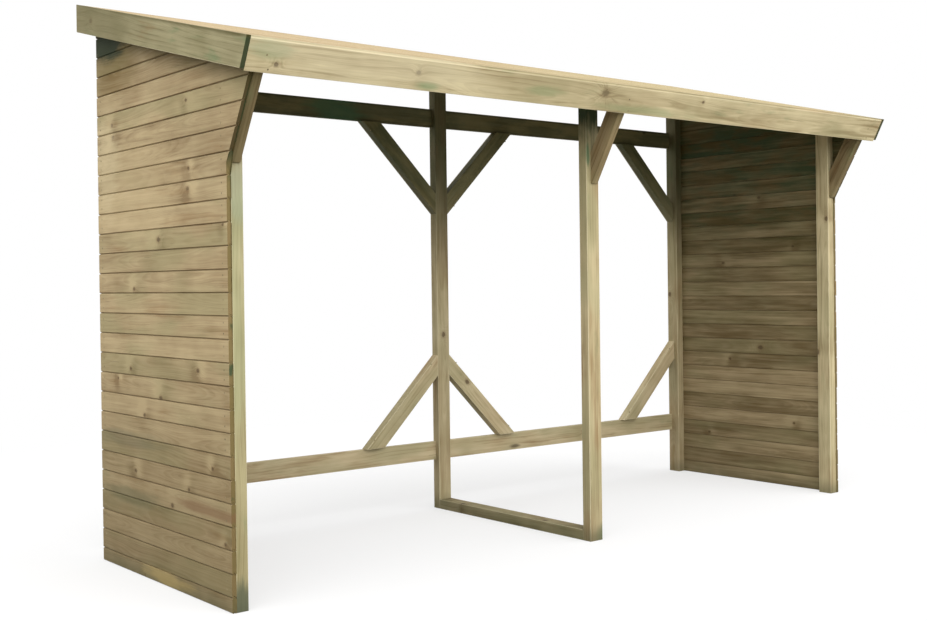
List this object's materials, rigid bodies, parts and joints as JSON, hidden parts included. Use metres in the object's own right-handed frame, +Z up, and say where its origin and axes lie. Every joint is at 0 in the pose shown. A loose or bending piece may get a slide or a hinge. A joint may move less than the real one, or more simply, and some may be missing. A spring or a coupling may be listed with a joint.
{
  "type": "log store",
  "caption": "Open-fronted timber log store with clad side walls, an open braced back and a board roof sloping to the front.",
  "frame": {"origin": "on the ground, under the middle of the roof", "axes": "+X to the right seen from the open front, +Y to the open back, +Z up"},
  "size_m": [3.638, 1.416, 2.2783],
  "materials": {
    "cladding": "planed, preservative-treated, weathered",
    "framing": "planed, preservative-treated",
    "rail_wood": "planed, preservative-treated",
    "roof_boards": "planed, preservative-treated",
    "trim": "planed, preservative-treated",
    "fixings": "galvanised nails, dulled"
  },
  "bodies": {
    "root": {"back_fascia": "trim", "front_fascia": "trim", "high_back_rail": "rail_wood", "left_back_post": "framing", "left_bargeboard": "trim", "left_cladding": "cladding", "left_front_post": "framing", "left_inner_high_brace": "rail_wood", "left_inner_low_brace": "rail_wood", "left_outer_high_brace": "rail_wood", "left_outer_low_brace": "rail_wood", "left_rafter": "framing", "left_strut": "framing", "low_back_rail": "rail_wood", "middle_back_post": "framing", "middle_front_post": "framing", "middle_rafter": "framing", "middle_sill": "framing", "middle_strut": "framing", "right_back_post": "framing", "right_bargeboard": "trim", "right_cladding": "cladding", "right_front_post": "framing", "right_inner_high_brace": "rail_wood", "right_inner_low_brace": "rail_wood", "right_outer_high_brace": "rail_wood", "right_outer_low_brace": "rail_wood", "right_rafter": "framing", "right_strut": "framing", "roof_deck": "roof_boards"}
  },
  "joints": []
}
